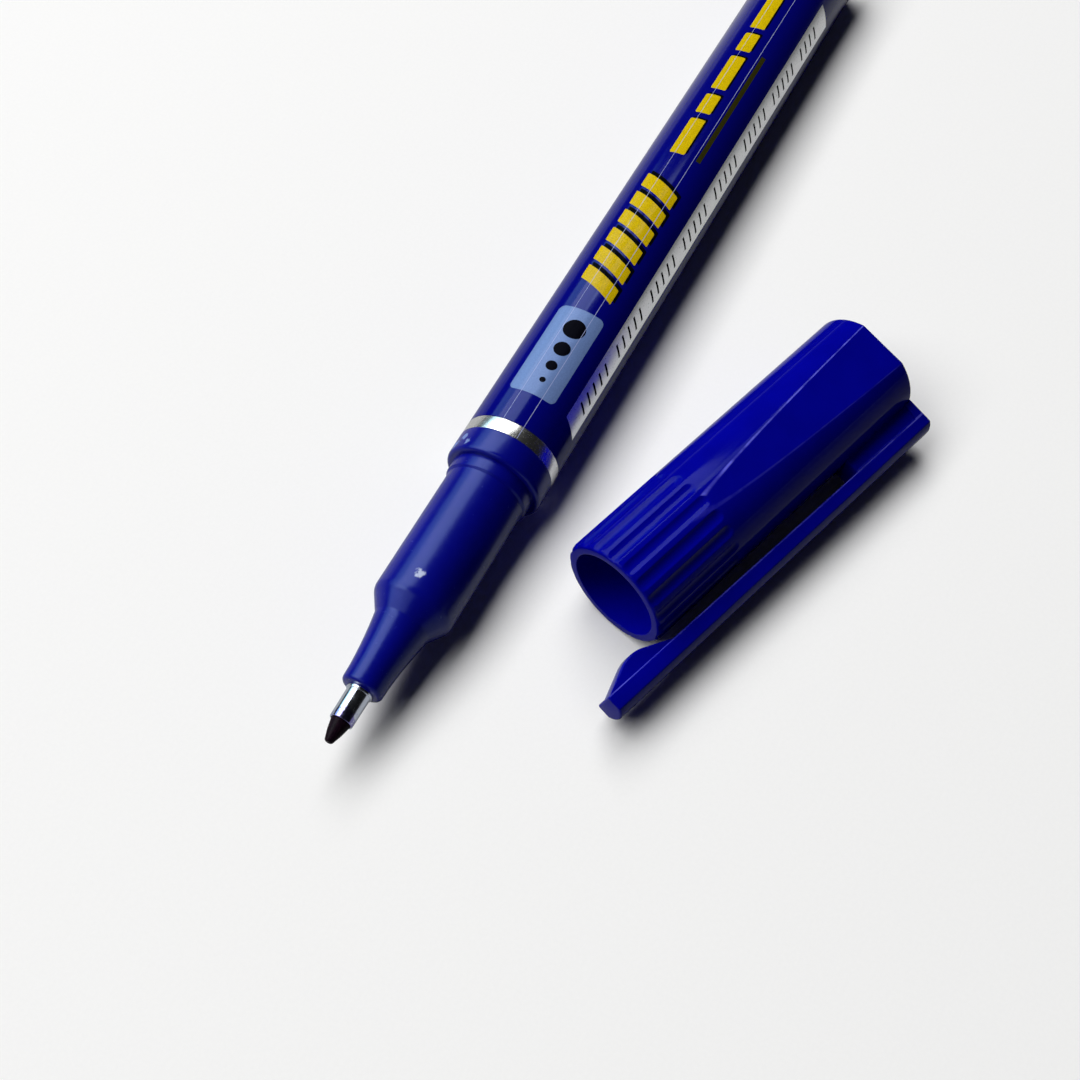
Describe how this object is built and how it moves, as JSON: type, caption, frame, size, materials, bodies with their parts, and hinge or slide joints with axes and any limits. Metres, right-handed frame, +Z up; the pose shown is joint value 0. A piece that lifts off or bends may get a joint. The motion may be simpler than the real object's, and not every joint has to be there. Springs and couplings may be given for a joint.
{
  "type": "felt tip marker",
  "caption": "Slim capped felt tip marker lying beside its fluted clip cap, with a film-wrapped barrel, foil band, tapered section, metal nib sleeve, fibre nib and ink wad.",
  "frame": {"origin": "on the surface that the pen and its cap lie on, under the middle of the space that both take up", "axes": "+X along the pen from nib to tail, +Y away from the cap, +Z up"},
  "size_m": [0.128, 0.0444, 0.0128],
  "materials": {
    "barrel_plastic": "glossy moulded plastic, deep blue",
    "foil": "bright silver foil",
    "printed_film": "clear glossy film with plain printed panels over the blue barrel",
    "section_plastic": "satin moulded plastic, deep blue",
    "sleeve_metal": "bright plated metal",
    "nib_fibre": "bonded fibre soaked with dark ink",
    "wad_fibre": "fibre wad soaked with blue ink",
    "wad_film": "thin translucent film",
    "cap_plastic": "glossy moulded plastic, bright deep blue",
    "liner_plastic": "matt moulded plastic, deep blue"
  },
  "bodies": {
    "pen": {"barrel": "barrel_plastic", "tail_plug": "barrel_plastic", "foil_band": "foil", "wrap_film": "printed_film", "section": "section_plastic", "nib_sleeve": "sleeve_metal", "nib": "nib_fibre", "ink_reservoir": "wad_fibre", "reservoir_film": "wad_film"},
    "cap_unit": {"cap": "cap_plastic", "inner_cap": "liner_plastic"}
  },
  "joints": [
    {"name": "cap_draw", "type": "slide", "parent": "pen", "child": "cap_unit", "axis": [0.9548, -0.2974, 0], "range_m": [0, 0.0336]}
  ]
}
